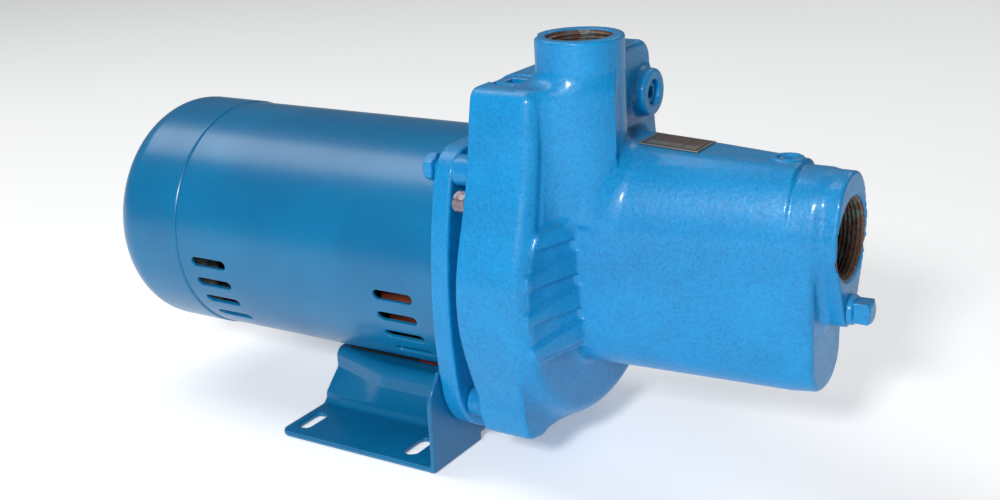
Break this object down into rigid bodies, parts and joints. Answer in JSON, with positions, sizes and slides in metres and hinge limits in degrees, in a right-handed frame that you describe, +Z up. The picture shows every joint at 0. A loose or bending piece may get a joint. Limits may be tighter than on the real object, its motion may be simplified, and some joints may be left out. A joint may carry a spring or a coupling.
{
  "type": "shallow well jet pump",
  "caption": "Electric jet pump for a shallow well: round motor on a slotted sheet foot, cast casing with a top discharge neck and a long jet body with a front suction port.",
  "frame": {"origin": "bottom centre of the whole pump, at the height of the surface that its foot stands on", "axes": "+X along the shaft from the motor towards the suction port, +Z up, -Y towards the side that the picture shows"},
  "size_m": [0.4714, 0.18, 0.244],
  "materials": {
    "cast_paint": "gloss blue enamel over rough cast iron",
    "sheet_paint": "semi-gloss blue enamel over smooth sheet steel",
    "steel": "ground steel",
    "zinc": "zinc plated",
    "lamination": "stacked electrical steel",
    "copper": "varnished copper wire",
    "aluminium": "die cast",
    "brass": "turned brass",
    "rubber": "matt black rubber",
    "black_plastic": "moulded black plastic",
    "grey_plastic": "glass filled moulding",
    "ceramic": "lapped ceramic",
    "fibre": "brown fibre board",
    "label": "blank satin plate"
  },
  "bodies": {
    "frame": {"adapter_plate": "cast_paint", "pump_casing": "cast_paint", "casing_bolt_1": "cast_paint", "casing_bolt_2": "cast_paint", "priming_plug": "cast_paint", "vacuum_tapping_plug": "cast_paint", "pressure_tapping_plug": "cast_paint", "front_plug": "cast_paint", "motor_shell": "sheet_paint", "rear_cap": "sheet_paint", "base_foot": "sheet_paint", "rear_bearing_outer_ring": "steel", "front_bearing_outer_ring": "steel", "cap_screw_1": "zinc", "cap_screw_2": "zinc", "cap_screw_3": "zinc", "through_bolt_1": "zinc", "through_bolt_2": "zinc", "through_bolt_3": "zinc", "through_bolt_4": "zinc", "capacitor_clip": "zinc", "base_bolt_1": "zinc", "base_bolt_2": "zinc", "casing_bolt_3": "zinc", "casing_bolt_4": "zinc", "rim_screw": "zinc", "diffuser_screw_1": "zinc", "diffuser_screw_2": "zinc", "diffuser_screw_3": "zinc", "stator_core": "lamination", "stator_winding": "copper", "rear_end_shield": "aluminium", "nozzle": "brass", "conduit_grommet": "rubber", "motor_pad": "rubber", "casing_oring": "rubber", "venturi_oring": "rubber", "capacitor": "black_plastic", "overload_protector": "black_plastic", "diffuser": "grey_plastic", "venturi_tube": "grey_plastic", "seal_seat": "ceramic", "start_switch": "fibre", "terminal_board": "fibre", "rating_label": "label"},
    "rotor": {"motor_shaft": "steel", "rotor_core": "lamination", "rotor_ring_rear": "aluminium", "rotor_ring_front": "aluminium", "rear_bearing_inner_ring": "steel", "front_bearing_inner_ring": "steel", "governor_plate": "zinc", "water_slinger": "rubber", "seal_head": "rubber", "seal_spring": "steel", "impeller": "grey_plastic"},
    "collar": {"governor_collar": "black_plastic"},
    "weight_1": {"governor_weight_1": "steel"},
    "weight_2": {"governor_weight_2": "steel"}
  },
  "joints": [
    {"name": "rotor_spin", "type": "hinge", "parent": "frame", "child": "rotor", "pos_m": [0.0087, 0, 0.1087], "axis": [1, 0, 0], "continuous": true},
    {"name": "collar_slide", "type": "slide", "parent": "rotor", "child": "collar", "axis": [1, 0, 0], "range_m": [0, 0.004], "stiffness_N_per_m": 900, "springref_m": -0.004},
    {"name": "weight_1_swing", "type": "hinge", "parent": "rotor", "child": "weight_1", "pos_m": [-0.1363, 0, 0.0867], "axis": [0, -1, 0], "range_deg": [0, 25.2]},
    {"name": "weight_2_swing", "type": "hinge", "parent": "rotor", "child": "weight_2", "pos_m": [-0.1363, 0, 0.1307], "axis": [0, 1, 0], "range_deg": [0, 25.2]}
  ],
  "couplings": [
    {"joint": "weight_1_swing", "follows": "collar_slide", "rad_per_m": 109},
    {"joint": "weight_2_swing", "follows": "collar_slide", "rad_per_m": 109}
  ]
}
